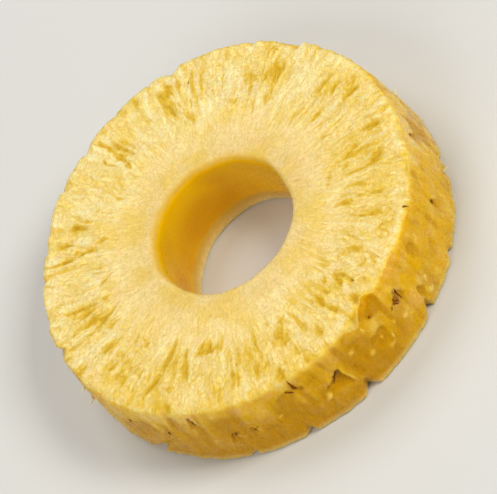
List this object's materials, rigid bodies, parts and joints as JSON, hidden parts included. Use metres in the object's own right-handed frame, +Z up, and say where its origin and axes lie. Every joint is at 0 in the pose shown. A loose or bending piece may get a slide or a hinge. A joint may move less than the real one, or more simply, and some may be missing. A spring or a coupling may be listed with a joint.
{
  "type": "pineapple ring",
  "caption": "Thick ring of peeled, cored fruit with a round hole, nicks and pits in its rim where the eyes sat, and hollows fanning out across its upper face.",
  "frame": {"origin": "middle of the ring's bounding box at its lower face, so the ring lies on the plane Z = 0", "axes": "+Z up through the core hole, from the lower cut face to the upper one; X and Y across the ring"},
  "size_m": [0.0914, 0.0932, 0.0193],
  "materials": {
    "flesh": "moist yellow fruit flesh, slightly translucent, with fine fibres running out from the core"
  },
  "bodies": {
    "root": {"pineapple_ring": "flesh"}
  },
  "joints": []
}
